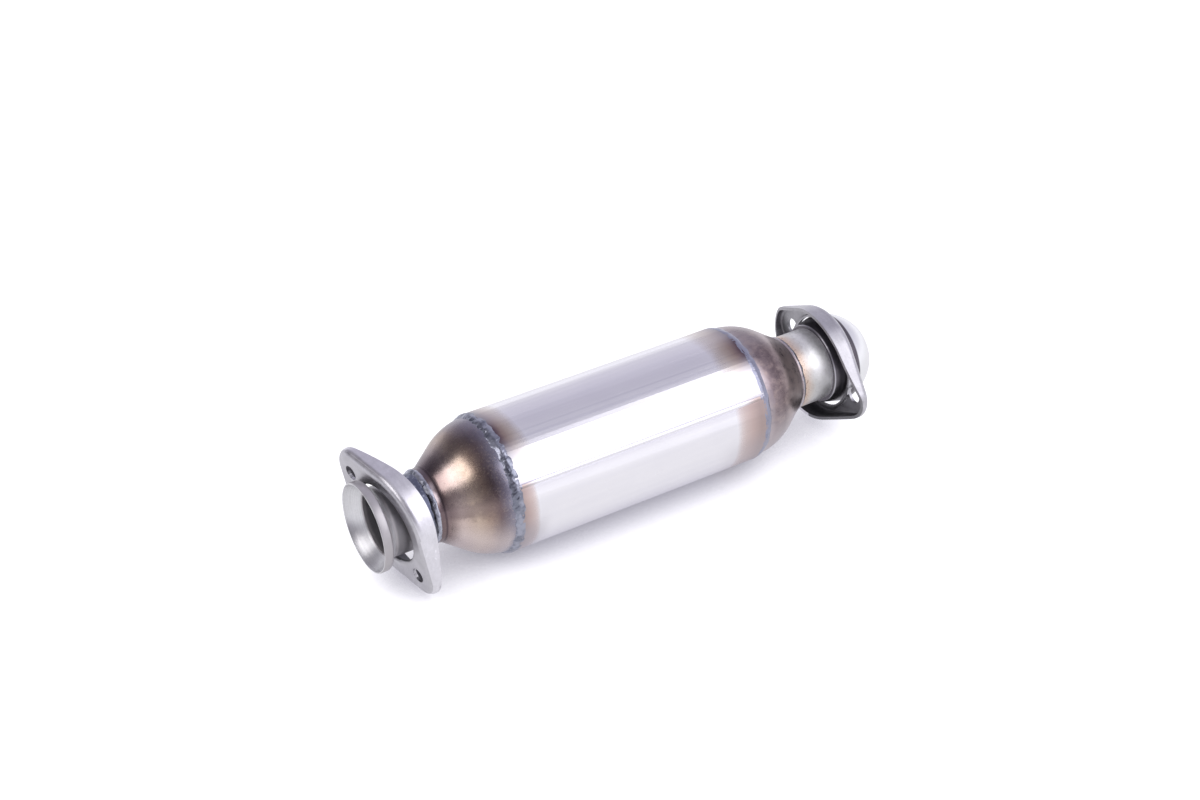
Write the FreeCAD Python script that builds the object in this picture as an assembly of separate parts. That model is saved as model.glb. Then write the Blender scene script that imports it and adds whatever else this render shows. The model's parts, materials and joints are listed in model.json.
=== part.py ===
import FreeCAD, Part

# Catalytic converter for a car exhaust: a round rolled shell with two formed cones, a belled inlet
# stub, an outlet stub with a ball fitting, and two loose stamped flanges that turn on the stubs.
# Millimetres. X runs along the gas flow and starts at the inlet's gasket face, Z is up.

import math
import os

# --- driving dimensions -------------------------------------------------------------------------

# sheet thicknesses
SHELL_WALL = 1.5
CONE_WALL = 1.5
STUB_WALL = 1.6
FLANGE_SHEET = 2.3

# rolled shell
SHELL_RADIUS = 50.8
SHELL_START = 95.4
SHELL_END = 298.2
SEAM_ANGLE = 29.0            # degrees up from the -Y side, where the rolled sheet's edges meet
SEAM_WIDTH = 2.8
SEAM_HEIGHT = 0.35

# cones: the straight slope is given by the two corners that its bends round off
CONE_LAP = 7.0               # how far each cone's rim slips into the shell
INLET_SHOULDER = 80.3
INLET_NECK = 49.8
INLET_NECK_BEND = 10.0
INLET_NECK_END = 44.8
OUTLET_SHOULDER = 316.0
OUTLET_NECK = 344.8
OUTLET_NECK_BEND = 4.0
OUTLET_NECK_END = 346.6

# inlet stub, belled to a cup for the ring gasket
INLET_PIPE_RADIUS = 25.4
BELL_RADIUS = 32.5
BELL_CORNER = 6.8
BELL_FOOT = 10.6
BELL_BEND = 3.4
LIP_CHAMFER = 0.5

# outlet stub and its ball fitting
OUTLET_PIPE_RADIUS = 27.6
BALL_RADIUS = 34.4
BALL_CENTRE = 385.4
BALL_WALL = 2.2
BALL_BACK = 373.7            # rear edge of the fitting
BALL_BACK_RADIUS = 30.2
BALL_SHOULDER = 389.5        # where the conical back runs into the sphere
BALL_CHAMFER = 0.6           # on the rear edge and round the opening in the nose
NOSE_RADIUS = 21.5           # opening in the front of the ball
PIPE_SOCKET = 5.5            # length of pipe inside the fitting
SOCKET_STEP = 1.0            # rise of the bore just behind the pipe's end

# stamped flanges, the same press form with its own centre hole and bolt holes at each end
FLANGE_RADIUS = 43.4         # half width across the middle
EAR_RADIUS = 16.6
BOLT_SPACING = 83.4
FLANGE_BEND = 5.0            # outside radius of the bend between the plate and its skirt
FLANGE_INSIDE = 1.6          # chamfer that stands for the bend's inside
SKIRT_MIDDLE = 15.8          # depth of the skirt across the middle
SKIRT_EAR = 6.3              # depth of the skirt at the ears' ends
COLLAR_BEND = 3.5            # outside radius of the bend into the hole's collar

INLET_FLANGE_X = 15.7
INLET_FLANGE_DROP = 2.8
INLET_FLANGE_TURN = 40.0     # degrees of the bolt line above the horizontal
INLET_FLANGE_TILT = (-6.0, 9.3)
INLET_HOLE_RADIUS = 29.8
INLET_COLLAR = 3.6           # depth of the collar below the plate's front face
INLET_BOLT_RADIUS = 5.5

OUTLET_FLANGE_X = 387.0
OUTLET_FLANGE_DROP = 1.0
OUTLET_FLANGE_TURN = 10.0
OUTLET_FLANGE_TILT = (1.9, -1.1)
OUTLET_HOLE_RADIUS = 34.4
OUTLET_COLLAR = 5.0
OUTLET_BOLT_RADIUS = 6.1

# weld beads: how far each reaches along X on both sides of its joint, and how proud it stands
CONE_BEAD_ON_SHELL = 2.2
CONE_BEAD_ON_CONE = 5.4
CONE_BEAD_HEIGHT = 1.1
PIPE_BEAD_ON_NECK = 3.0
PIPE_BEAD_ON_PIPE = 2.2
PIPE_BEAD_HEIGHT = 1.2
BEAD_CROWN = 0.4             # share of a bead's width that its flat crown takes
BEAD_ROOT = 2.5              # how deep a bead's section is drawn before the joined parts are cut from it

# ceramic bricks, packed in fibre mats
MAT_THICKNESS = 3.0
BRICK_LENGTH = 74.0
BRICK_GAP = 16.0
SEAL_LENGTH = 6.0

TOUCH = 0.01                 # edges this close to a place are taken to lie on it

SHELL_BORE = SHELL_RADIUS - SHELL_WALL
BODY_MIDDLE = (SHELL_START + SHELL_END) / 2

X_AXIS = FreeCAD.Vector(1, 0, 0)
Y_AXIS = FreeCAD.Vector(0, 1, 0)
Z_AXIS = FreeCAD.Vector(0, 0, 1)
ORIGIN = FreeCAD.Vector(0, 0, 0)


# --- helpers ------------------------------------------------------------------------------------

def station(x, radius):
    """A point of a turned profile, in the half plane above the X axis."""
    return FreeCAD.Vector(x, 0, radius)


def bent_path(corners, bends):
    """A path of straight runs whose inner corners are rounded to the given radii."""
    edges = []
    last = corners[0]
    for before, corner, after, bend in zip(corners, corners[1:], corners[2:], bends):
        back = (before - corner).normalize()
        on = (after - corner).normalize()
        half = back.getAngle(on) / 2
        reach = bend / math.tan(half)
        start = corner + back * reach
        end = corner + on * reach
        middle = corner + (back + on).normalize() * (bend / math.sin(half) - bend)
        edges.append(Part.makeLine(last, start))
        edges.append(Part.Arc(start, middle, end).toShape())
        last = end
    edges.append(Part.makeLine(last, corners[-1]))
    return Part.Wire(edges)


def turned(profile):
    """The solid that a closed profile sweeps round the X axis."""
    return Part.Face(profile).revolve(ORIGIN, X_AXIS, 360)


def turned_sheet(path, wall):
    """A sheet part: the path is its outer surface, and the wall lies inside it."""
    section = path.makeOffset2D(-wall, 0, True, True)
    if section.BoundBox.ZMax > path.BoundBox.ZMax + wall / 2:
        section = path.makeOffset2D(wall, 0, True, True)
    return section.revolve(ORIGIN, X_AXIS, 360)


def tube(x_start, x_end, outer, inner):
    """A plain ring or tube along X."""
    corners = [station(x_start, inner), station(x_start, outer), station(x_end, outer), station(x_end, inner)]
    return turned(Part.makePolygon(corners + corners[:1]))


def export(shape, name):
    """Write one node, after a check that it is a sound closed solid."""
    shape = shape.removeSplitter()
    if not shape.isValid() or shape.Volume <= 0:
        raise ValueError(name + " is not a sound solid")
    shape.exportStep("parts/" + name + ".step")
    print(name, len(shape.Solids), "solid", round(shape.Volume / 1000, 2), "cm3")
    return shape


# --- shell and cones ----------------------------------------------------------------------------

def make_shell():
    return tube(SHELL_START, SHELL_END, SHELL_RADIUS, SHELL_BORE)


def make_seam_weld():
    """A low bead along the joint of the rolled sheet, between the two cone welds."""
    start = SHELL_START + CONE_BEAD_ON_SHELL
    length = SHELL_END - CONE_BEAD_ON_SHELL - start
    half_width = SEAM_WIDTH / 2
    bead_radius = (half_width ** 2 + SEAM_HEIGHT ** 2) / (2 * SEAM_HEIGHT)
    centre = SHELL_RADIUS + SEAM_HEIGHT - bead_radius
    bead = Part.makeCylinder(bead_radius, length, FreeCAD.Vector(start, -centre, 0), X_AXIS)
    bead = bead.cut(Part.makeCylinder(SHELL_RADIUS, SHELL_END, ORIGIN, X_AXIS))
    bead.rotate(ORIGIN, X_AXIS, -SEAM_ANGLE)
    return bead


def make_cone(rim_x, shoulder, neck, neck_bend, neck_end, pipe_radius):
    """A drawn cone: rim inside the shell, spherical shoulder, straight slope and a short neck."""
    neck_radius = pipe_radius + CONE_WALL
    path = bent_path(
        [
            station(rim_x, SHELL_BORE),
            station(shoulder, SHELL_BORE),
            station(neck, neck_radius),
            station(neck_end, neck_radius),
        ],
        [SHELL_BORE, neck_bend],
    )
    return turned_sheet(path, CONE_WALL)


# --- stubs --------------------------------------------------------------------------------------

def make_inlet_pipe():
    """The inlet stub, with its end pressed out to a cup and its pipe slipped into the neck."""
    pipe_end = INLET_NECK + INLET_NECK_BEND / 2
    path = bent_path(
        [
            station(0, BELL_RADIUS),
            station(BELL_CORNER, BELL_RADIUS),
            station(BELL_FOOT, INLET_PIPE_RADIUS),
            station(pipe_end, INLET_PIPE_RADIUS),
        ],
        [BELL_BEND, BELL_BEND],
    )
    pipe = turned_sheet(path, STUB_WALL)
    lip = [edge for edge in pipe.Edges
           if edge.BoundBox.XMax < TOUCH and edge.BoundBox.ZMax > BELL_RADIUS - TOUCH]
    return pipe.makeChamfer(LIP_CHAMFER, lip)


def make_outlet_pipe():
    start = OUTLET_NECK - OUTLET_NECK_BEND / 2
    end = BALL_BACK + PIPE_SOCKET
    return tube(start, end, OUTLET_PIPE_RADIUS, OUTLET_PIPE_RADIUS - STUB_WALL)


def on_ball(x, radius):
    """The point of a sphere about the ball's centre that lies at x."""
    return station(x, math.sqrt(radius ** 2 - (x - BALL_CENTRE) ** 2))


def make_outlet_ball():
    """The ball fitting: a thick rear edge on the pipe, a conical back and a spherical nose."""
    inner_radius = BALL_RADIUS - BALL_WALL
    nose_x = BALL_CENTRE + math.sqrt(BALL_RADIUS ** 2 - NOSE_RADIUS ** 2)
    inner_nose_x = BALL_CENTRE + math.sqrt(inner_radius ** 2 - NOSE_RADIUS ** 2)
    middle_x = (BALL_SHOULDER + nose_x) / 2
    shoulder = on_ball(BALL_SHOULDER, BALL_RADIUS)
    inner_shoulder = on_ball(BALL_SHOULDER, inner_radius)
    nose = station(nose_x, NOSE_RADIUS)
    inner_nose = station(inner_nose_x, NOSE_RADIUS)
    socket_end = BALL_BACK + PIPE_SOCKET
    back = [
        inner_shoulder,
        station(socket_end + BALL_WALL, OUTLET_PIPE_RADIUS + SOCKET_STEP),
        station(socket_end, OUTLET_PIPE_RADIUS),
        station(BALL_BACK, OUTLET_PIPE_RADIUS),
        station(BALL_BACK, BALL_BACK_RADIUS),
        shoulder,
    ]
    edges = [Part.makeLine(a, b) for a, b in zip(back, back[1:])]
    edges.append(Part.Arc(shoulder, on_ball(middle_x, BALL_RADIUS), nose).toShape())
    edges.append(Part.makeLine(nose, inner_nose))
    edges.append(Part.Arc(inner_nose, on_ball(middle_x, inner_radius), inner_shoulder).toShape())
    ball = turned(Part.Wire(edges))
    rear_edge = station(BALL_BACK, BALL_BACK_RADIUS)
    rings = []
    for edge in ball.Edges:
        box = edge.BoundBox
        for point in (rear_edge, nose):
            if max(abs(box.XMin - point.x), abs(box.XMax - point.x), abs(box.ZMax - point.z)) < TOUCH:
                rings.append(edge)
    return ball.makeChamfer(BALL_CHAMFER, rings)


# --- weld beads ---------------------------------------------------------------------------------

def make_bead(x_low, radius_low, x_high, radius_high, height, joined):
    """A ring bead over a joint: a flat crown between two feet, with the joined parts cut away."""
    low = station(x_low, radius_low)
    high = station(x_high, radius_high)
    middle = (low + high) * 0.5 + FreeCAD.Vector(0, 0, height)
    half_crown = (high - low) * (BEAD_CROWN / 2)
    root = FreeCAD.Vector(0, 0, -BEAD_ROOT)
    corners = [low, middle - half_crown, middle + half_crown, high, high + root, low + root, low]
    bead = turned(Part.makePolygon(corners))
    for part in joined:
        bead = bead.cut(part)
    outside = [solid for solid in bead.Solids if solid.BoundBox.ZMax > max(radius_low, radius_high)]
    return outside[0]


def surface_radius(solid, x):
    """Outer radius of a turned part at x."""
    probe = Part.makeLine(station(x, 0), station(x, 2 * SHELL_RADIUS))
    return solid.common(probe).BoundBox.ZMax


# --- stamped flanges ----------------------------------------------------------------------------

def flange_outline(inset, z):
    """Outline of the flange: a middle circle and two ears, joined by tangent sides."""
    middle = FLANGE_RADIUS - inset
    ear = EAR_RADIUS - inset
    half = BOLT_SPACING / 2
    lean = math.acos((middle - ear) / half)
    edges = []
    corners = []
    for side, up in ((1, 1), (-1, 1), (-1, -1), (1, -1)):
        direction = FreeCAD.Vector(side * math.cos(lean), up * math.sin(lean), 0)
        on_ear = FreeCAD.Vector(side * half, 0, z) + direction * ear
        on_middle = FreeCAD.Vector(0, 0, z) + direction * middle
        corners.append((on_ear, on_middle))
    ear_tip = FreeCAD.Vector(half + ear, 0, z)
    far_tip = FreeCAD.Vector(-half - ear, 0, z)
    top = FreeCAD.Vector(0, middle, z)
    bottom = FreeCAD.Vector(0, -middle, z)
    (ear_a, mid_a), (ear_b, mid_b), (ear_c, mid_c), (ear_d, mid_d) = corners
    edges.append(Part.Arc(ear_d, ear_tip, ear_a).toShape())
    edges.append(Part.makeLine(ear_a, mid_a))
    edges.append(Part.Arc(mid_a, top, mid_b).toShape())
    edges.append(Part.makeLine(mid_b, ear_b))
    edges.append(Part.Arc(ear_b, far_tip, ear_c).toShape())
    edges.append(Part.makeLine(ear_c, mid_c))
    edges.append(Part.Arc(mid_c, bottom, mid_d).toShape())
    edges.append(Part.makeLine(mid_d, ear_d))
    return Part.Wire(edges)


def pressed_block(inset, z_top):
    """The outline drawn down past the skirt, and the edges round its top."""
    block = Part.Face(flange_outline(inset, z_top)).extrude(FreeCAD.Vector(0, 0, -2 * SKIRT_MIDDLE))
    rim = [edge for edge in block.Edges if edge.BoundBox.ZMin > z_top - TOUCH]
    return block, rim


def make_flange(hole_radius, collar_depth, bolt_radius):
    """One stamping: front face up at z = 0, skirt and collar turned down towards the body."""
    block, rim = pressed_block(0, 0)
    hollow, hollow_rim = pressed_block(FLANGE_SHEET, -FLANGE_SHEET)
    flange = block.makeFillet(FLANGE_BEND, rim).cut(hollow.makeChamfer(FLANGE_INSIDE, hollow_rim))

    # the skirt's free edge is an arc, deep across the middle and shallow at the ears
    reach = BOLT_SPACING / 2 + EAR_RADIUS
    rise = SKIRT_MIDDLE - SKIRT_EAR
    trim_radius = (reach ** 2 + rise ** 2) / (2 * rise)
    trim_centre = FreeCAD.Vector(0, -2 * FLANGE_RADIUS, trim_radius - SKIRT_MIDDLE)
    flange = flange.common(Part.makeCylinder(trim_radius, 4 * FLANGE_RADIUS, trim_centre, Y_AXIS))

    # centre hole, its edge drawn down into a collar
    foot = FreeCAD.Vector(0, 0, -collar_depth)
    flange = flange.fuse(Part.makeCylinder(hole_radius + FLANGE_SHEET, collar_depth, foot))
    flange = flange.cut(Part.makeCylinder(hole_radius, collar_depth, foot)).removeSplitter()
    mouth = [edge for edge in flange.Edges
             if edge.BoundBox.ZMin > -TOUCH and abs(edge.BoundBox.XMax - hole_radius) < TOUCH]
    flange = flange.makeFillet(COLLAR_BEND, mouth)

    for side in (1, -1):
        place = FreeCAD.Vector(side * BOLT_SPACING / 2, 0, -2 * FLANGE_SHEET)
        flange = flange.cut(Part.makeCylinder(bolt_radius, 4 * FLANGE_SHEET, place))
    return flange.removeSplitter()


def place_flange(flange, outward, x, drop, turn, tilt):
    """Stand a flange across the stub: outward is -1 at the inlet and 1 at the outlet."""
    flange.rotate(ORIGIN, Y_AXIS, outward * 90)
    flange.rotate(ORIGIN, X_AXIS, turn + outward * 90)
    flange.rotate(ORIGIN, Y_AXIS, tilt[0])
    flange.rotate(ORIGIN, Z_AXIS, tilt[1])
    flange.translate(FreeCAD.Vector(x, 0, -drop))
    return flange


# --- bricks, mats and seals ---------------------------------------------------------------------

def make_fillings():
    """The two ceramic bricks, the mats that hold them and the mesh rings at the mats' outer ends."""
    brick_radius = SHELL_BORE - MAT_THICKNESS
    fillings = {}
    for name, direction in (("front", -1), ("rear", 1)):
        near = BODY_MIDDLE + direction * BRICK_GAP / 2
        far = near + direction * BRICK_LENGTH
        low, high = sorted((near, far))
        mat_far = far - direction * SEAL_LENGTH
        mat_low, mat_high = sorted((near, mat_far))
        seal_low, seal_high = sorted((mat_far, far))
        brick = Part.makeCylinder(brick_radius, high - low, FreeCAD.Vector(low, 0, 0), X_AXIS)
        fillings[name + "_brick"] = brick
        fillings[name + "_mat"] = tube(mat_low, mat_high, SHELL_BORE, brick_radius)
        fillings[name + "_mesh_seal"] = tube(seal_low, seal_high, SHELL_BORE, brick_radius)
    return fillings


# --- the whole part -----------------------------------------------------------------------------

def main():
    os.makedirs("parts", exist_ok=True)

    shell = export(make_shell(), "shell")
    export(make_seam_weld(), "shell_seam_weld")

    inlet_cone = make_cone(SHELL_START + CONE_LAP, INLET_SHOULDER, INLET_NECK, INLET_NECK_BEND,
                           INLET_NECK_END, INLET_PIPE_RADIUS)
    outlet_cone = make_cone(SHELL_END - CONE_LAP, OUTLET_SHOULDER, OUTLET_NECK, OUTLET_NECK_BEND,
                            OUTLET_NECK_END, OUTLET_PIPE_RADIUS)
    inlet_cone = export(inlet_cone, "inlet_cone")
    outlet_cone = export(outlet_cone, "outlet_cone")
    inlet_pipe = export(make_inlet_pipe(), "inlet_pipe")
    outlet_pipe = export(make_outlet_pipe(), "outlet_pipe")
    outlet_ball = export(make_outlet_ball(), "outlet_ball")

    # beads: each starts on one part's outer surface and ends on the other's
    for name, cone, shell_end, away in (("inlet_cone_weld", inlet_cone, SHELL_START, -1),
                                        ("outlet_cone_weld", outlet_cone, SHELL_END, 1)):
        cone_x = shell_end + away * CONE_BEAD_ON_CONE
        shell_x = shell_end - away * CONE_BEAD_ON_SHELL
        feet = sorted([(cone_x, surface_radius(cone, cone_x)), (shell_x, SHELL_RADIUS)])
        bead = make_bead(*feet[0], *feet[1], CONE_BEAD_HEIGHT, [cone, shell])
        export(bead, name)
    for name, cone, pipe, neck_end, away, pipe_radius in (
            ("inlet_pipe_weld", inlet_cone, inlet_pipe, INLET_NECK_END, -1, INLET_PIPE_RADIUS),
            ("outlet_pipe_weld", outlet_cone, outlet_pipe, OUTLET_NECK_END, 1, OUTLET_PIPE_RADIUS)):
        neck_x = neck_end - away * PIPE_BEAD_ON_NECK
        pipe_x = neck_end + away * PIPE_BEAD_ON_PIPE
        feet = sorted([(neck_x, surface_radius(cone, neck_x)), (pipe_x, pipe_radius)])
        bead = make_bead(*feet[0], *feet[1], PIPE_BEAD_HEIGHT, [cone, pipe])
        export(bead, name)

    inlet_flange = make_flange(INLET_HOLE_RADIUS, INLET_COLLAR, INLET_BOLT_RADIUS)
    inlet_flange = place_flange(inlet_flange, -1, INLET_FLANGE_X, INLET_FLANGE_DROP,
                                INLET_FLANGE_TURN, INLET_FLANGE_TILT)
    outlet_flange = make_flange(OUTLET_HOLE_RADIUS, OUTLET_COLLAR, OUTLET_BOLT_RADIUS)
    outlet_flange = place_flange(outlet_flange, 1, OUTLET_FLANGE_X, OUTLET_FLANGE_DROP,
                                 OUTLET_FLANGE_TURN, OUTLET_FLANGE_TILT)
    export(inlet_flange, "inlet_flange")
    export(outlet_flange, "outlet_flange")
    print("inlet flange clears the stub by", round(inlet_flange.distToShape(inlet_pipe)[0], 2))
    print("outlet flange clears the ball by", round(outlet_flange.distToShape(outlet_ball)[0], 2))

    for name, filling in make_fillings().items():
        export(filling, name)


main()
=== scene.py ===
# %% [markdown]
# # A catalytic converter in stainless steel
# A rolled shell holds two ceramic bricks. A drawn cone closes it at each end, and a stub leaves each
# cone: a belled one where the gas comes in, one with a ball where it goes out. A loose stamped flange
# hangs on each stub. The solids come from the CAD model, and this notebook dresses them.

# %% Load the solids
import json
import math

import bmesh
import bpy
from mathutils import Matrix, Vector, noise


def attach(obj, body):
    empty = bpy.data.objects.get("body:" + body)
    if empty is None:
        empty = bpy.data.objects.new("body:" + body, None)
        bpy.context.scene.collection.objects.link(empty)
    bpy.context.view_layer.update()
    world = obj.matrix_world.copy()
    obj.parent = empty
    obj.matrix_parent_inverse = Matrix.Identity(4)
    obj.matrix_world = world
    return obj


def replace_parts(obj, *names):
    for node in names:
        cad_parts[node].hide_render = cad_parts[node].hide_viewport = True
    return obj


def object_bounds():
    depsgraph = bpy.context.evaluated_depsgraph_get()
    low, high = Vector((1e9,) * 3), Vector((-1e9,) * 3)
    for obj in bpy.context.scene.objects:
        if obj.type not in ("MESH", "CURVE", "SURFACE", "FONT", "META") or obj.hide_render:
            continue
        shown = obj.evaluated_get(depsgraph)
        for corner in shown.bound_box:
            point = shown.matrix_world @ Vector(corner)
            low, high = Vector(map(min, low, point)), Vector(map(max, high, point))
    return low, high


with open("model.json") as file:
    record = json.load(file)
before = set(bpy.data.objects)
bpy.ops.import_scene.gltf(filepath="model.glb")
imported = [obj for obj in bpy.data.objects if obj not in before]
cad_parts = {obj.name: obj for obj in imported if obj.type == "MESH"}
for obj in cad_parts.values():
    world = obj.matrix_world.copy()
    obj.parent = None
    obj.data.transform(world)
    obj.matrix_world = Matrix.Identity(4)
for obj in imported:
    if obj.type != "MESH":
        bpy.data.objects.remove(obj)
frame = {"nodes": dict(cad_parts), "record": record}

cad_low, cad_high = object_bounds()
MM = 0.001
scene = bpy.context.scene
print("solids:", len(frame["nodes"]), "box:", [round(v, 4) for v in cad_high - cad_low])

# %% [markdown]
# ## Shader arithmetic
# Heat tint, brushing, and painted shade and light all come from sums and products of a few masks.
# Written as nodes by hand that is long and hard to read, so a small class wraps a socket and lets
# Python's own operators add the Math nodes. Colours go through Mix nodes, because a Math node turns
# them grey.

# %% A socket that can be added and multiplied
class Signal:
    def __init__(self, board, socket):
        self.board = board
        self.socket = socket

    def math(self, operation, *others):
        inputs = {i: value for i, value in enumerate((self,) + others)}
        return self.board.add("ShaderNodeMath", {"operation": operation}, inputs)

    def swapped(self, operation, first):
        return self.board.add("ShaderNodeMath", {"operation": operation}, {0: first, 1: self})

    def __add__(self, other): return self.math("ADD", other)
    def __radd__(self, other): return self.math("ADD", other)
    def __sub__(self, other): return self.math("SUBTRACT", other)
    def __rsub__(self, other): return self.swapped("SUBTRACT", other)
    def __mul__(self, other): return self.math("MULTIPLY", other)
    def __rmul__(self, other): return self.math("MULTIPLY", other)
    def __truediv__(self, other): return self.math("DIVIDE", other)
    def __pow__(self, other): return self.math("POWER", other)
    def __neg__(self): return self.math("MULTIPLY", -1.0)
    def __abs__(self): return self.math("ABSOLUTE")

    def clamped(self): return self.math("MINIMUM", 1.0).math("MAXIMUM", 0.0)

    def rise(self, low, high):
        """0 below low, 1 above high, smooth between. With low above high it falls instead."""
        settings = {"interpolation_type": "SMOOTHSTEP"}
        if low <= high:
            return self.board.add("ShaderNodeMapRange", settings, {0: self, 1: low, 2: high})
        return 1 - self.rise(high, low)

    def band(self, low, full, fade, high):
        """1 between full and fade, 0 below low and above high."""
        return self.rise(low, full) * self.rise(high, fade)


# %% A material's board of nodes
class Board:
    def __init__(self, material):
        self.name = material.name
        material.use_nodes = True
        self.tree = material.node_tree
        self.tree.nodes.clear()

    def add(self, kind, settings=None, inputs=None, out=0):
        """Any node, by its type, its settings and the values or links of its sockets."""
        node = self.tree.nodes.new(kind)
        for name, value in (settings or {}).items():
            if name == "stops":
                ramp = node.color_ramp
                while len(ramp.elements) < len(value):
                    ramp.elements.new(0.5)
                for element, (place, colour) in zip(ramp.elements, value):
                    element.position = place
                    element.color = tuple(colour) + (1.0,)
            else:
                setattr(node, name, value)
        for name, value in (inputs or {}).items():
            socket = node.inputs[name]
            if isinstance(value, Signal):
                self.tree.links.new(value.socket, socket)
            elif isinstance(value, tuple) and len(value) == 3 and socket.type == "RGBA":
                socket.default_value = value + (1.0,)
            else:
                socket.default_value = value
        return Signal(self, node.outputs[out] if len(node.outputs) else None)

    def place(self):
        """Where a point is in the row's frame, in millimetres: along the gas flow, across, and up."""
        point = self.add("ShaderNodeTexCoord", out="Object")
        axes = self.add("ShaderNodeSeparateXYZ", inputs={0: point}).socket.node.outputs
        return [Signal(self, axis) * 1000.0 for axis in axes]

    def ray_is(self, kind):
        """1 for the rays of one kind, such as Camera or Glossy."""
        return self.add("ShaderNodeLightPath", out="Is " + kind + " Ray")

    def vector(self, x, y, z):
        return self.add("ShaderNodeCombineXYZ", inputs={0: x, 1: y, 2: z})

    def cloud(self, where, size, detail=3.0, roughness=0.55, distortion=0.0):
        """Soft noise around 0.5 with blobs of about the given size in millimetres."""
        inputs = {"Vector": where, "Scale": 1.0 / size, "Detail": detail, "Roughness": roughness,
                  "Distortion": distortion}
        return self.add("ShaderNodeTexNoise", inputs=inputs)

    def blend(self, mask, low, high, how="MIX"):
        """A colour between two others, by a mask."""
        settings = {"data_type": "RGBA", "blend_type": how}
        return self.add("ShaderNodeMix", settings, {0: mask, 6: low, 7: high}, out=2)

    def layered(self, base, layers):
        """Lays each (mask, colour) over what is there so far."""
        for mask, colour in layers:
            base = self.blend(mask, base, colour)
        return base

    def tinted(self, colour, red, green, blue):
        """The colour with a factor on each of its channels."""
        return self.blend(1.0, colour, self.vector(red, green, blue), "MULTIPLY")

    def ramp(self, value, stops):
        return self.add("ShaderNodeValToRGB", {"stops": stops}, {0: value})

    def bump(self, height, depth, under=None):
        """Turns a height in millimetres into a normal."""
        inputs = {"Height": height, "Distance": depth * MM, "Strength": 1.0}
        if under is not None:
            inputs["Normal"] = under
        return self.add("ShaderNodeBump", inputs=inputs)

    def metal(self, inputs):
        """The finish itself, joined to the output."""
        settings = {"Metallic": 1.0}
        settings.update(inputs)
        shader = self.add("ShaderNodeBsdfPrincipled", inputs=settings)
        self.add("ShaderNodeOutputMaterial", inputs={"Surface": shader})
        print(self.name, len(self.tree.nodes), "nodes")


finishes = {}


def finish(name):
    """A new material, kept under its name, and its empty board."""
    finishes[name] = bpy.data.materials.new(name)
    return Board(finishes[name])


# %% [markdown]
# ## The studio
# The part lies on a pale floor that runs out of view. Its steel shows whatever surrounds it, so the
# room matters more than the lamps: bright on the side where the gas leaves, dark on the other, and
# brightest just above the floor. A large soft lamp at the front lights the shell's broad glare, and a
# smaller one at the left lights the inlet cone.

# %% Camera
AZIMUTH = math.radians(-31.68)
ELEVATION = math.radians(35.57)
DISTANCE = 1.49
AIM = Vector((0.1877, 0.0, 0.03621))
LENS = 63.6
SENSOR = 36.0

away = Vector((math.sin(AZIMUTH) * math.cos(ELEVATION), -math.cos(AZIMUTH) * math.cos(ELEVATION),
               math.sin(ELEVATION)))
camera = bpy.data.objects.new("camera", bpy.data.cameras.new("camera"))
camera.data.lens = LENS
camera.data.sensor_width = SENSOR
camera.location = AIM + away * DISTANCE
camera.rotation_euler = (-away).to_track_quat("-Z", "Y").to_euler()
scene.collection.objects.link(camera)
scene.camera = camera
scene.view_settings.view_transform = "Standard"
print("camera at", [round(part, 3) for part in camera.location])

# %% [markdown]
# The floor glows by itself as well as taking light, so it stays even and pale far from the part. An
# occlusion node finds where the part stands close above it. There the glow drops, and reflections of
# that place drop less.

# %% Floor
FLOOR_REACH = 4.0
PALE_X, PALE_Y = 190.0, -60.0
NEAR_TONE = (0.385, 0.383, 0.395)
FAR_TONE = (0.50, 0.50, 0.53)
SHADE_TONE = (0.405, 0.395, 0.455)
SHADE_REACH = 0.06
GLOW = 1.95
BLACK = (0.0, 0.0, 0.0)

rig = bmesh.new()
bmesh.ops.create_grid(rig, x_segments=1, y_segments=1, size=FLOOR_REACH)
bmesh.ops.translate(rig, verts=rig.verts, vec=(AIM.x, 0, cad_low.z))
floor_mesh = bpy.data.meshes.new("floor")
rig.to_mesh(floor_mesh)
rig.free()
floor = bpy.data.objects.new("floor", floor_mesh)
scene.collection.objects.link(floor)

board = finish("floor_paper")
x, y, z = board.place()
glossy = board.ray_is("Glossy")
seen = (board.ray_is("Camera") + glossy).clamped()
far = ((x - PALE_X) ** 2.0 + (y - PALE_Y) ** 2.0) ** 0.5
tone = board.blend(far.rise(420.0, 1100.0), NEAR_TONE, FAR_TONE)
openness = board.add("ShaderNodeAmbientOcclusion", {"samples": 8}, {"Distance": SHADE_REACH}, out="AO")
shaded = openness.rise(0.68, 0.08)
strength = (1.0 - shaded * 0.78) * (1.45 - glossy * 0.35) + glossy * shaded * 0.35
tone = board.blend(shaded * 0.8, tone, SHADE_TONE)
matte = board.add("ShaderNodeBsdfDiffuse", inputs={"Color": board.blend(0.4, tone, BLACK)})
glow = board.add("ShaderNodeEmission", inputs={"Color": tone, "Strength": GLOW * seen * strength})
both = board.add("ShaderNodeAddShader", inputs={0: matte, 1: glow})
board.add("ShaderNodeOutputMaterial", inputs={"Surface": both})
floor.data.materials.append(finishes["floor_paper"])
print("floor", 2 * FLOOR_REACH, "m wide at", round(cad_low.z, 4))

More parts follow.
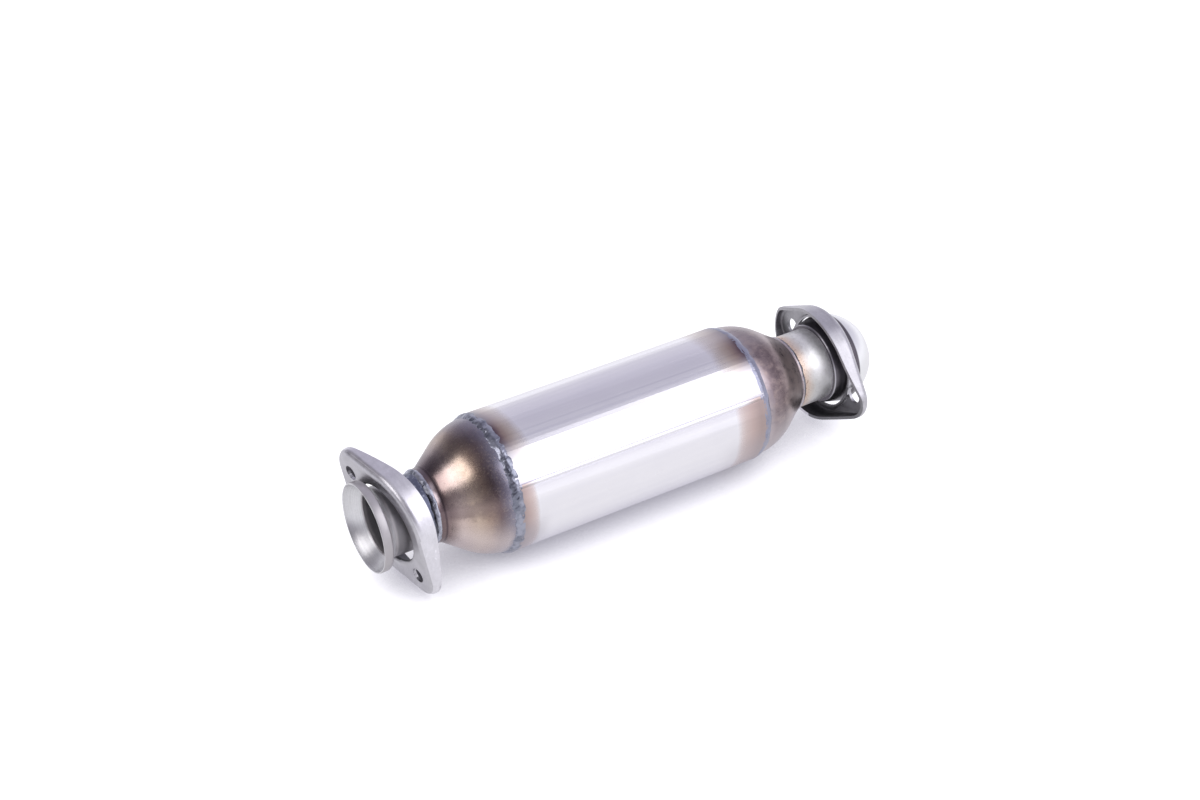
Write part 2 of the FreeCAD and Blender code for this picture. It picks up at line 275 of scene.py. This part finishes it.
# %% Room
BRIGHT_SIDE = ((0.0, (1.34, 1.34, 1.36)), (0.10, (1.0, 0.98, 1.08)), (0.32, (0.78, 0.76, 0.88)),
               (0.58, (0.72, 0.70, 0.82)), (0.80, (0.56, 0.54, 0.66)), (1.0, (0.66, 0.65, 0.74)))
DIM_SIDE = ((0.0, (0.95, 0.95, 0.99)), (0.12, (0.66, 0.65, 0.72)), (0.25, (0.34, 0.33, 0.38)),
            (0.58, (0.13, 0.12, 0.15)), (0.80, (0.20, 0.19, 0.22)), (1.0, (0.40, 0.39, 0.44)))
BACK_WALL = (0.30, 0.30, 0.36)
BACKDROP = (0.93, 0.93, 0.97)

world = bpy.data.worlds.new("room")
scene.world = world
board = Board(world)
way = board.add("ShaderNodeTexCoord", out="Generated")
axes = board.add("ShaderNodeSeparateXYZ", inputs={0: way}).socket.node.outputs
along, across, height = [Signal(board, axis) for axis in axes]
behind = across.rise(0.35, 0.9) * height.rise(0.55, 0.05) * 0.24
bright = board.blend(behind, board.ramp(height, BRIGHT_SIDE), BACK_WALL)
room = board.blend(along.rise(-0.35, 0.25), board.ramp(height, DIM_SIDE), bright)
room = board.blend(board.ray_is("Camera"), room, BACKDROP)
sky = board.add("ShaderNodeBackground", inputs={"Color": room, "Strength": 1.0})
board.add("ShaderNodeOutputWorld", inputs={"Surface": sky})
print("room", len(world.node_tree.nodes), "nodes")


# %% Lamps
LAMPS_FACE = Vector((0.2, 0.0, 0.0))


def softbox(name, towards, distance, width, height, radiance, colour):
    """A soft lamp that faces the part from the given direction."""
    lamp = bpy.data.lights.new(name, "AREA")
    lamp.shape = "RECTANGLE"
    lamp.size = width
    lamp.size_y = height
    lamp.energy = radiance * math.pi * width * height
    lamp.color = colour
    holder = bpy.data.objects.new(name, lamp)
    direction = Vector(towards).normalized()
    holder.location = LAMPS_FACE + direction * distance
    holder.rotation_euler = (-direction).to_track_quat("-Z", "Y").to_euler()
    scene.collection.objects.link(holder)


softbox("front_lamp", (0.427, -0.62, 0.69), 1.5, 1.25, 1.28, 1.6, (1.0, 1.0, 1.0))
softbox("left_lamp", (-0.76, 0.03, 0.63), 1.5, 1.0, 0.62, 2.6, (1.0, 0.98, 0.99))
print("lamps:", len(bpy.data.lights))

# %% [markdown]
# ## Copies with clean shading
# The solids arrive as loose triangles. A copy is merged, its broad curves are shaded smooth and its
# real edges stay sharp. The copy then stands for the solid.

# %% Dress a solid
SAME_POINT = 1e-7
SHARP_FROM = 28.0       # degrees between two faces


def dress(node, slot, body):
    mesh = frame["nodes"][node].data.copy()
    rig = bmesh.new()
    rig.from_mesh(mesh)
    bmesh.ops.remove_doubles(rig, verts=rig.verts, dist=SAME_POINT)
    for face in rig.faces:
        face.smooth = True
    rig.to_mesh(mesh)
    rig.free()
    mesh.materials.clear()
    mesh.materials.append(finishes[slot])
    mesh.set_sharp_from_angle(angle=math.radians(SHARP_FROM))
    piece = bpy.data.objects.new(node + "_skin", mesh)
    scene.collection.objects.link(piece)
    weighted = piece.modifiers.new("flat_faces_stay_flat", "WEIGHTED_NORMAL")
    weighted.keep_sharp = True
    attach(piece, body)
    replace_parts(piece, node)
    print(piece.name, len(mesh.polygons), "faces")


# %% [markdown]
# ## Rings that are turned or laid
# A weld is a bead that was laid in small steps, so it has ripples across it, lumps, and feet that
# wander. The inlet stub ends in a machined flare, all in round curves. Both start as a closed section
# in the half plane above the gas path, which is spun round it. The bead's points then move in and out
# by a few layers of noise. A texture alone could give the ripples, but not the ragged outline.

# %% Spin a closed section round the gas path
def spun(name, section, steps, slot, sharp, shape=None):
    """section lists (x, radius) in millimetres; shape moves each point, given x, radius and angle."""
    rig = bmesh.new()
    ring = [rig.verts.new((x * MM, 0.0, radius * MM)) for x, radius in section]
    edges = [rig.edges.new((a, b)) for a, b in zip(ring, ring[1:] + ring[:1])]
    bmesh.ops.spin(rig, geom=ring + edges, cent=(0, 0, 0), axis=(1, 0, 0), dvec=(0, 0, 0),
                   angle=math.tau, steps=steps, use_merge=True)
    if shape is not None:
        for vert in rig.verts:
            x, y, z = (part / MM for part in vert.co)
            radius = math.hypot(y, z)
            new_x, new_radius = shape(x, radius, Vector((x, y, z)))
            vert.co = Vector((new_x, y * new_radius / radius, z * new_radius / radius)) * MM
    bmesh.ops.recalc_face_normals(rig, faces=rig.faces)
    for face in rig.faces:
        face.smooth = True
    mesh = bpy.data.meshes.new(name)
    rig.to_mesh(mesh)
    rig.free()
    mesh.materials.append(finishes[slot])
    mesh.set_sharp_from_angle(angle=math.radians(sharp))
    piece = bpy.data.objects.new(name, mesh)
    scene.collection.objects.link(piece)
    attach(piece, "converter")
    print(name, len(mesh.polygons), "faces")
    return piece


# %% A weld bead
ARC_POINTS = 16
ARC_FULLNESS = 0.8      # below 1 the bead's arc is blunter than a sine
SUNK = 0.25             # how far the feet lie beneath the sheet, in millimetres
ROOT_IN, ROOT_DOWN = 0.3, 1.2
TALL = 35.0             # points this far above or below the gas path stay inside the part's box
BEAD_SHARP = 70


def laid_bead(node, low, high, height, ripple, lump, wander, steps):
    """low and high are the feet (x, radius); ripple is (pitch, depth) and lump (size, depth)."""
    pitch, ripple_depth = ripple
    lump_size, lump_depth = lump
    section = []
    for i in range(ARC_POINTS + 1):
        share = i / ARC_POINTS
        rise = math.sin(math.pi * share) ** ARC_FULLNESS
        section.append((low[0] + (high[0] - low[0]) * share,
                        low[1] + (high[1] - low[1]) * share + height * rise - SUNK))
    section += [(high[0] - ROOT_IN, high[1] - ROOT_DOWN), (low[0] + ROOT_IN, low[1] - ROOT_DOWN)]
    middle = (low[0] + high[0]) / 2
    half = (high[0] - low[0]) / 2
    ceiling = cad_high.z / MM - 0.02

    def shape(x, radius, point):
        across = (x - middle) / half
        foot = low[1] + (high[1] - low[1]) * (x - low[0]) / (high[0] - low[0])
        proud = max(0.0, radius - foot + SUNK) / (height + 0.01)
        around = math.atan2(point.z, point.y) * radius
        lag = across * across * pitch * 0.9
        crest = math.sin(math.tau * (around + lag + noise.noise(point / 7.0) * 1.6) / pitch)
        lift = crest * ripple_depth + noise.noise(point / lump_size) * lump_depth
        lift += noise.noise(point / (lump_size * 0.4)) * lump_depth * 0.35
        shift = noise.noise(point / 5.0 + Vector((9.0, 3.0, 1.0))) * wander * abs(across)
        shift += noise.noise(point / 1.7) * wander * 0.35 * abs(across)
        limit = ceiling if abs(point.z) > TALL else math.inf
        return x + shift, min(radius + lift * min(1.0, proud), limit)

    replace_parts(spun(node + "_bead", section, steps, "weld_metal", BEAD_SHARP, shape), node)


# %% [markdown]
# ## Finishes
# Stainless sheet straight from the mill is pale and satin, with faint streaks along the way it was
# rolled. Welding heats it, and the oxide that grows beside the bead turns straw, then bronze, then a
# dark violet brown. So the shell and the cones take their colour from the place along the gas path,
# measured from the welds, with a cloudy edge. Masks round the path then lay patches over it.

# %% Bare steel, rolling marks and the angle round the part
BARE = (0.80, 0.79, 0.815)


def streaks(board, x, y, z, along, across):
    """Faint lines along the gas flow, as the rolls leave them."""
    return board.cloud(board.vector(x / along, y / across, z / across), 1.0, detail=4.0)


def turn(board, y, z):
    """Degrees up from the side that faces -Y, round the gas path."""
    return board.add("ShaderNodeMath", {"operation": "ARCTAN2"}, {0: z, 1: -y}) * math.degrees(1.0)


# %% [markdown]
# The shell is tinted beside its two round welds. Above the seam the tint is dark and reaches further
# than below it. Below the seam, painted shade darkens the underside beside the welds, more at the inlet
# end. Streaks and the seam's own line darken the steel a little, and two thin lines of painted dark
# reflection lie along the upper edge of the front lamp's glare.

# %% Shell finish
SHELL_FIRST_WELD = 97.0
SHELL_LAST_WELD = 296.4
SEAM_AT = 29.0
LOW_TINT = ((0.0, (0.40, 0.315, 0.30)), (0.35, (0.52, 0.41, 0.385)), (0.62, (0.60, 0.50, 0.475)),
            (0.80, (0.68, 0.60, 0.585)), (1.0, BARE))
HIGH_TINT = ((0.0, (0.115, 0.08, 0.10)), (0.10, (0.19, 0.135, 0.145)), (0.28, (0.345, 0.265, 0.235)),
             (0.50, (0.49, 0.415, 0.365)), (0.74, (0.62, 0.565, 0.53)), (1.0, BARE))
WELD_SHADE_TONE = (0.41, 0.38, 0.41)

board = finish("shell_steel")
x, y, z = board.place()
angle = turn(board, y, z)
where = board.vector(x, y, z)
rolled = streaks(board, x, y, z, 120.0, 0.9)
broad_streaks = streaks(board, x, y, z, 260.0, 5.0)
broad = board.cloud(where, 34.0, detail=2.0)
fine = board.cloud(where, 4.0, detail=5.0, roughness=0.65)

above = angle.band(SEAM_AT - 1.0, SEAM_AT + 1.0, 175.0, 200.0)
reach = 12.0 + above * 6.0
wander = ((broad - 0.5) * 7.0 + (fine - 0.5) * 3.0) * (0.4 + above * 0.55)
first = (x - SHELL_FIRST_WELD + wander) / reach
last = (SHELL_LAST_WELD - 4.0 * (1 - above) - x + wander) / (reach + 8.0)
nearest = first.math("MINIMUM", last)

# Painted shade: the underside beside the two welds is darkened, more at the inlet end.
weld_shade = angle.rise(8.0, -18.0) * nearest.rise(2.0, 0.2) * (0.45 + x.rise(200.0, 150.0) * 0.25)
low_tint_and_shade = board.blend(weld_shade, board.ramp(nearest, LOW_TINT), WELD_SHADE_TONE)
core = angle + (broad - 0.5) * 14.0
strength = 0.24 + core.rise(46.0, 72.0) * 0.76 - core.rise(80.0, 98.0) * 0.34
high_tint = board.blend(strength, BARE, board.ramp(nearest, HIGH_TINT))
tint = board.blend(above, low_tint_and_shade, high_tint)

# Painted reflection: two thin dark lines along the upper edge of the front lamp's glare.
painted_glare_edge_lines = (angle.band(64.0, 65.2, 66.2, 67.5) + angle.band(70.0, 70.8, 71.4, 72.4)) * 0.07
seam_line = angle.band(30.2, 30.5, 31.0, 31.4) * (0.32 + x.rise(190.0, 100.0) * 0.16)
scuffs = board.cloud(board.vector(x / 2.0, y, z), 6.0, detail=6.0, roughness=0.75).rise(0.62, 0.78)
grain = (rolled - 0.5) * 0.07 + (broad_streaks - 0.5) * 0.10 + (broad - 0.5) * 0.07
grain = grain - painted_glare_edge_lines - seam_line - scuffs * 0.06
rough = 0.25 + (rolled - 0.5) * 0.10 + (fine - 0.5) * 0.06 + (1 - nearest.clamped()) * 0.10
board.metal({"Base Color": board.tinted(tint, 1.0 + grain, 1.0 + grain, 1.0 + grain * 0.7),
             "Roughness": rough, "Normal": board.bump(rolled, 0.004)})

# %% [markdown]
# The inlet cone was heated from both ends: dark at its neck, tan in the middle and blue-black beside
# the shell. The outlet cone is dark only beside the shell. Both carry specks, pits and dull patches.
# Over that lies painted reflection: by the angle round the path, bands of each cone are made lighter
# or darker, as the steel would mirror brighter or darker parts of the room. The inlet cone also has a
# painted highlight at its neck and painted shade in the crease where the neck meets the cone, and the
# outlet cone has a painted highlight in a strip beside its weld.

# %% Inlet cone finish
INLET_CONE_START = 44.0
INLET_CONE_LENGTH = 48.0
INLET_CONE_TINTS = (
    (0.0, (0.17, 0.125, 0.125)), (0.08, (0.20, 0.145, 0.145)), (0.17, (0.32, 0.24, 0.23)),
    (0.32, (0.56, 0.45, 0.41)), (0.50, (0.52, 0.41, 0.33)), (0.64, (0.36, 0.265, 0.215)),
    (0.76, (0.17, 0.125, 0.13)), (0.88, (0.19, 0.17, 0.21)), (1.0, (0.28, 0.28, 0.35)))

board = finish("inlet_cone_steel")
x, y, z = board.place()
angle = turn(board, y, z)
where = board.vector(x, y, z)
broad = board.cloud(where, 22.0, detail=3.0)
fine = board.cloud(where, 1.5, detail=6.0, roughness=0.75)
mottle = board.cloud(where, 5.0, detail=4.0, roughness=0.7)
station = x + (broad - 0.5) * 8.0 + (mottle - 0.5) * 5.0 + (fine - 0.5) * 2.0

speck = fine.rise(0.52, 0.64) * station.rise(58.0, 66.0) * mottle.rise(0.35, 0.6)
pits = fine.rise(0.42, 0.34)
# Painted reflection: lighter underneath, darker in a cloudy band low on the front, darker at the neck
# below and above a painted highlight, lighter on top near the foot and darker along the top.
under = angle.rise(12.0, -22.0) * station.band(50.0, 58.0, 86.0, 93.0)
cloudy_angle = angle + (broad - 0.5) * 26.0 + (mottle - 0.5) * 12.0
painted_dark_band = cloudy_angle.band(8.0, 18.0, 26.0, 36.0) * station.band(44.0, 47.0, 74.0, 84.0)
low_neck = angle.rise(34.0, 20.0) * station.rise(60.0, 50.0)
glint = angle.band(34.0, 44.0, 64.0, 76.0) * station.rise(50.5, 47.0)
high_neck = angle.rise(74.0, 92.0) * station.rise(68.0, 56.0)
high_foot = angle.rise(80.0, 100.0) * station.rise(70.0, 80.0)
crown = angle.rise(68.0, 88.0)
# Painted shade in the crease where the neck meets the cone.
crease_shade = x.band(48.6, 49.3, 49.9, 50.6)
tint = board.ramp((station - INLET_CONE_START) / INLET_CONE_LENGTH, INLET_CONE_TINTS)
tint = board.layered(tint, (
    (speck * 0.4, (0.54, 0.44, 0.33)), (pits * 0.45, (0.12, 0.09, 0.09)),
    (under * 0.62, (0.66, 0.58, 0.57)), (painted_dark_band * 0.55, (0.13, 0.095, 0.105)),
    (low_neck * 0.45, (0.16, 0.12, 0.125)), (glint * 0.6, (0.66, 0.57, 0.58)),
    (high_neck * 0.5, (0.07, 0.055, 0.075)), (high_foot * 0.3, (0.40, 0.38, 0.44)),
    (crown * 0.35, (0.15, 0.13, 0.16)), (crease_shade * 0.7, (0.07, 0.05, 0.06))))
board.metal({"Base Color": tint, "Roughness": 0.27 + speck * 0.08 + (mottle - 0.5) * 0.18,
             "Normal": board.bump(fine, 0.014, board.bump(mottle, 0.05))})

# %% Outlet cone finish
OUTLET_CONE_START = 302.0
OUTLET_CONE_LENGTH = 44.0
OUTLET_CONE_TINTS = (
    (0.0, (0.40, 0.35, 0.37)), (0.10, (0.25, 0.20, 0.21)), (0.34, (0.165, 0.125, 0.13)),
    (0.50, (0.32, 0.255, 0.25)), (0.78, (0.50, 0.41, 0.39)), (1.0, (0.42, 0.36, 0.37)))
GLARE_STRIP_AT = 305.0

board = finish("outlet_cone_steel")
x, y, z = board.place()
angle = turn(board, y, z)
where = board.vector(x, y, z)
broad = board.cloud(where, 18.0, detail=3.0)
mottle = board.cloud(board.vector(x / 1.6, y, z), 5.0, detail=5.0, roughness=0.7)
fine = board.cloud(where, 1.2, detail=5.0, roughness=0.75)
station = x + (broad - 0.5) * 7.0 + (mottle - 0.5) * 4.0

# Painted highlight: a narrow lighter strip beside the weld, low on the front.
painted_glare_strip = abs(station - GLARE_STRIP_AT).rise(2.4, 0.8) * angle.band(14.0, 24.0, 34.0, 46.0)
tint = board.ramp((station - OUTLET_CONE_START) / OUTLET_CONE_LENGTH, OUTLET_CONE_TINTS)
tint = board.layered(tint, (
    (mottle.rise(0.46, 0.66) * 0.46, (0.44, 0.35, 0.32)),
    (mottle.rise(0.50, 0.34) * 0.42, (0.13, 0.10, 0.105)),
    # Painted reflection: lighter underneath and along the top.
    (angle.rise(24.0, -22.0) * 0.62, (0.50, 0.45, 0.47)),
    (angle.rise(66.0, 84.0) * 0.28, (0.50, 0.46, 0.48)),
    (painted_glare_strip * 0.5, (0.36, 0.30, 0.32)),
    (fine.rise(0.64, 0.72) * 0.35, (0.48, 0.34, 0.26)),
    (fine.rise(0.37, 0.31) * 0.5, (0.06, 0.05, 0.05))))
board.metal({"Base Color": tint, "Roughness": 0.30 + (mottle - 0.5) * 0.18,
             "Normal": board.bump(fine, 0.012)})

# %% [markdown]
# All the welds share one metal: slate on the cones, silver on the stubs. The seam along the shell is
# as bare as the sheet, and browned only near its two ends.

# %% Weld finish
OUTLET_CONE_BEAD_AT = 300.0

board = finish("weld_metal")
x, y, z = board.place()
where = board.vector(x, y, z)
fine = board.cloud(where, 1.0, detail=5.0, roughness=0.7)
broad = board.cloud(where, 7.0, detail=3.0)
pale = abs(x - OUTLET_CONE_BEAD_AT).rise(7.0, 5.0)
silver = (x.rise(340.0, 342.0) + x.rise(60.0, 58.0) * 0.8).clamped()
seam = x.band(98.3, 98.8, 294.7, 295.2)
heated = (x.rise(113.0, 99.0) + x.rise(276.0, 293.0)).clamped()
tint = board.blend(broad.rise(0.40, 0.62), (0.20, 0.21, 0.26), (0.36, 0.37, 0.44))
tint = board.layered(tint, (
    (pale * 0.75, (0.31, 0.315, 0.40)),
    (silver * broad.rise(0.30, 0.55), (0.48, 0.49, 0.56)),
    (fine.rise(0.62, 0.74) * 0.5, (0.72, 0.73, 0.76)),
    (fine.rise(0.36, 0.26) * 0.35, (0.07, 0.07, 0.09)),
    (seam, board.blend(heated, (0.75, 0.74, 0.765), (0.42, 0.34, 0.32)))))
board.metal({"Base Color": tint, "Roughness": 0.30 + (broad - 0.5) * 0.20,
             "Normal": board.bump(fine, 0.015)})

# %% [markdown]
# The two pipes share a steel. The inlet stub is blue-black where it enters the cone, and its bell has
# fine turned rings, and it carries painted shade inside the inlet flange's hole. The outlet stub is
# bronze near its cone, and painted light makes it lighter towards the ball. The ball is bright where it
# stands out of the flange, and painted shade darkens it inside the flange and on its flat rear face.

# %% Pipe finish
board = finish("pipe_steel")
x, y, z = board.place()
where = board.vector(x, y, z)
broad = board.cloud(where, 12.0, detail=3.0)
mottle = board.cloud(where, 3.0, detail=5.0, roughness=0.7)
fine = board.cloud(where, 0.9, detail=5.0, roughness=0.7)
radius = (y ** 2.0 + z ** 2.0) ** 0.5
rings = board.cloud(board.vector(x / 0.5, radius / 0.5, (y + z) / 60.0), 1.0, detail=3.0)
wander = (broad - 0.5) * 6.0 + (mottle - 0.5) * 4.0

in_bell = x.rise(12.0, 10.5) * radius.rise(24.2, 24.5) * (radius + x * 0.5).rise(32.3, 32.0)
blue = (x + wander).rise(30.0, 38.0) * x.rise(60.0, 55.0)
# Painted shade on the stub inside the inlet flange's hole.
flange_hole_shade = x.band(12.5, 14.5, 27.0, 31.0)
outlet = x.rise(300.0, 310.0)
bronzed = outlet * (x + wander).rise(359.0, 348.0)
# Painted light: the outlet stub's colour grows lighter near the flange, towards the ball.
bright = board.blend(x.rise(355.0, 364.0), (0.74, 0.735, 0.72), (1.0, 1.0, 0.99))
tint = board.blend(blue, (0.50, 0.48, 0.49), (0.12, 0.13, 0.19))
tint = board.layered(tint, (
    (blue * mottle.rise(0.52, 0.66), (0.34, 0.36, 0.44)), (outlet, bright),
    (bronzed * 0.75, (0.66, 0.47, 0.34)), (bronzed * mottle.rise(0.54, 0.64), (0.30, 0.17, 0.11)),
    (flange_hole_shade * 0.6, (0.13, 0.125, 0.14)), (in_bell, (0.82, 0.82, 0.83))))
grain = (mottle - 0.5) * (0.20 + outlet * 0.35) + (fine - 0.5) * (0.12 + outlet * 0.20)
tone = 1.0 + grain - in_bell * abs(rings - 0.5) * 1.1
marks = board.bump(rings * in_bell, 0.09)
board.metal({"Metallic": 0.72, "Base Color": board.tinted(tint, tone, tone, tone),
             "Roughness": 0.38 + (broad - 0.5) * 0.14 - in_bell * 0.04,
             "Normal": board.bump(fine, 0.01, marks)})

# %% Ball finish
board = finish("ball_steel")
x, y, z = board.place()
where = board.vector(x, y, z)
broad = board.cloud(where, 18.0, detail=3.0)
fine = board.cloud(where, 2.0, detail=4.0)
radius = (y ** 2.0 + z ** 2.0) ** 0.5
# Painted shade: the flat rear face, and the ball where it sits inside the flange, are darkened.
end_face = x.rise(374.6, 374.2) * radius.rise(29.5, 29.8)
tint = board.blend(x.rise(395.0, 394.0), (0.79, 0.795, 0.80), (0.13, 0.12, 0.135))
tint = board.blend(end_face, tint, (0.44, 0.43, 0.46))
tone = 1.0 + (broad - 0.5) * 0.14
board.metal({"Base Color": board.tinted(tint, tone, tone, tone),
             "Roughness": 0.30 + (broad - 0.5) * 0.1, "Normal": board.bump(fine, 0.02)})

# %% Flange finish
board = finish("flange_steel")
x, y, z = board.place()
where = board.vector(x, y, z)
inside = board.add("ShaderNodeAttribute", {"attribute_name": "inside"}, out="Fac")
rim = board.add("ShaderNodeAttribute", {"attribute_name": "rim"}, out="Fac")
broad = board.cloud(where, 16.0, detail=3.0, distortion=1.0)
mottle = board.cloud(where, 4.0, detail=5.0, roughness=0.7, distortion=0.6)
fine = board.cloud(where, 0.9, detail=5.0, roughness=0.7)
smear = board.cloud(board.vector(x / 2.0, y / 9.0, z / 4.0), 1.0, detail=5.0)
scratches = board.cloud(board.vector(x / 1.5, y / 0.5, z / 16.0), 1.0, detail=2.0).rise(0.66, 0.72)
tone = 0.50 + (broad - 0.5) * 0.18 + (mottle - 0.5) * 0.20 + (fine - 0.5) * 0.12 + (smear - 0.5) * 0.14
# Painted shade inside the cup, less on the upper part of the outlet flange, and painted light on the
# rim.
upper_outlet = z.rise(-12.0, 14.0) * x.rise(200.0, 300.0)
cup_shade = inside * (0.58 - upper_outlet * 0.40)
tone = (tone + scratches * 0.12 + rim * 0.20) * (1.0 - cup_shade)
board.metal({"Base Color": board.vector(tone, tone * 0.985, tone * 1.035),
             "Roughness": 0.38 + (mottle - 0.5) * 0.20 + inside * 0.1,
             "Normal": board.bump(fine, 0.02, board.bump(mottle, 0.05))})

# %% Bricks, mats and mesh
PITCH = 1.27
WEB = 0.17

board = finish("brick_ceramic")
x, y, z = board.place()
in_y = (y / PITCH).math("FRACT")
in_z = (z / PITCH).math("FRACT")
edge = 0.5 - WEB
# Painted shade: the honeycomb's open channels are drawn as dark cells on the flat face.
open_cell = abs(in_y - 0.5).rise(edge + 0.05, edge) * abs(in_z - 0.5).rise(edge + 0.05, edge)
tint = board.blend(open_cell, (0.62, 0.57, 0.49), (0.05, 0.045, 0.04))
board.metal({"Base Color": tint, "Roughness": 0.9, "Metallic": 0.0})

board = finish("mat_fibre")
x, y, z = board.place()
fluff = board.cloud(board.vector(x, y, z), 0.8, detail=5.0)
board.metal({"Base Color": board.blend(fluff, (0.55, 0.53, 0.49), (0.82, 0.80, 0.76)), "Roughness": 0.95,
             "Metallic": 0.0, "Normal": board.bump(fluff, 0.3)})

board = finish("mesh_wire")
x, y, z = board.place()
wires = board.cloud(board.vector(x, y, z), 0.5, detail=3.0)
board.metal({"Base Color": board.blend(wires.rise(0.4, 0.6), (0.12, 0.12, 0.12), (0.55, 0.54, 0.53)),
             "Roughness": 0.4, "Normal": board.bump(wires, 0.3)})
print("finishes:", len(finishes))

# %% [markdown]
# ## Every solid gets its copy
# The record says which body carries each solid and which slot its material has. The four round welds
# and the inlet stub are left out here, because they are made further down.

# %% Dress the solids
BODIES = frame["record"]["behaviour"]["bodies"]
BODY_OF = {node: body for body, nodes in BODIES.items() for node in nodes}
SLOT_OF = {row["node"]: row["material_slot"] for row in frame["record"]["subparts"]}
MADE_HERE = ("inlet_cone_weld", "outlet_cone_weld", "inlet_pipe_weld", "outlet_pipe_weld", "inlet_pipe")
for node, slot in SLOT_OF.items():
    if node not in MADE_HERE:
        dress(node, slot, BODY_OF[node])

# %% [markdown]
# A stamped flange is painted lighter on its rim, where light catches it, and darker inside its cup,
# where shade falls, and a material can't tell those faces apart. So each face carries two numbers that
# the flange finish reads: inside, for painted shade on the back of the sheet and the wall of its mouth,
# and a rim number, for painted light on the lip and, on the inlet flange, the outer edge.

# %% Mark the inner side and the rim of the flanges
LIP_DEPTH = 0.3 * MM
MOUTH_RADIUS = 31.5 * MM

for node, facing in (("inlet_flange", 1), ("outlet_flange", -1)):
    mesh = bpy.data.objects[node + "_skin"].data
    inside = mesh.attributes.new("inside", "FLOAT", "FACE")
    rim = mesh.attributes.new("rim", "FLOAT", "FACE")
    lip = max(facing * v.co.x for v in mesh.vertices)
    for face in mesh.polygons:
        radius = math.hypot(face.center.y, face.center.z)
        outward = face.normal.dot(Vector((0.0, face.center.y, face.center.z)) / radius)
        upright = abs(face.normal.x) < 0.6
        on_lip = lip - facing * face.center.x < LIP_DEPTH
        back = face.normal.x * facing > 0.6 and not on_lip
        mouth = radius < MOUTH_RADIUS and outward < -0.3
        inside.data[face.index].value = 1.0 if back or mouth or (upright and outward < -0.2) else 0.0
        rim.data[face.index].value = 1.0 if on_lip or (upright and outward > 0.3 and facing > 0) else 0.0
    print(node, sum(mark.value for mark in inside.data), "inner faces")

# %% [markdown]
# The bead on the inlet cone is the widest and roughest, and the one on the outlet cone is lower and more
# even. Each row gives the solid it stands for, the two feet, the height, the ripple, the lump, how far
# the feet wander and the number of steps round, with lengths in millimetres.

# %% Lay the welds
BEADS = (
    ("inlet_cone_weld", (90.3, 49.0), (98.2, 50.8), 1.2, (2.3, 0.05), (5.2, 0.7), 1.3, 900),
    ("outlet_cone_weld", (295.6, 50.8), (302.8, 49.1), 0.95, (1.5, 0.03), (5.0, 0.25), 0.7, 900),
    ("inlet_pipe_weld", (41.6, 25.4), (46.2, 27.0), 1.0, (1.2, 0.09), (2.6, 0.35), 0.7, 1000),
    ("outlet_pipe_weld", (345.2, 29.1), (349.0, 27.6), 0.75, (1.1, 0.07), (2.6, 0.25), 0.6, 1100))
for row in BEADS:
    laid_bead(*row)

# %% [markdown]
# The stub's section runs from the mouth over the outside of the flare, along the pipe to its end in
# the cone, and back through the bore to the mouth.

# %% The inlet stub with its machined flare
FLARE_STEPS = 256
FLARE_SHARP = 35
FLARE = [
    (0.0, 31.55), (0.0, 32.1), (0.25, 32.42), (0.6, 32.5), (3.0, 32.5), (5.4, 32.46), (6.2, 32.25),
    (6.75, 31.8), (7.1, 31.1), (7.5, 29.6), (8.1, 27.8), (8.9, 26.6), (10.1, 25.8), (11.8, 25.45),
    (13.5, 25.4), (30.0, 25.4), (54.8, 25.4),
    (54.8, 23.8), (30.0, 23.8), (11.4, 23.8), (11.0, 23.85), (10.7, 24.1), (9.6, 25.1), (7.8, 26.7),
    (6.0, 28.2), (4.2, 29.5), (2.6, 30.45), (1.2, 31.1), (0.3, 31.45)]
stub = spun("inlet_pipe_skin", FLARE, FLARE_STEPS, "pipe_steel", FLARE_SHARP)
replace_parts(stub, "inlet_pipe")
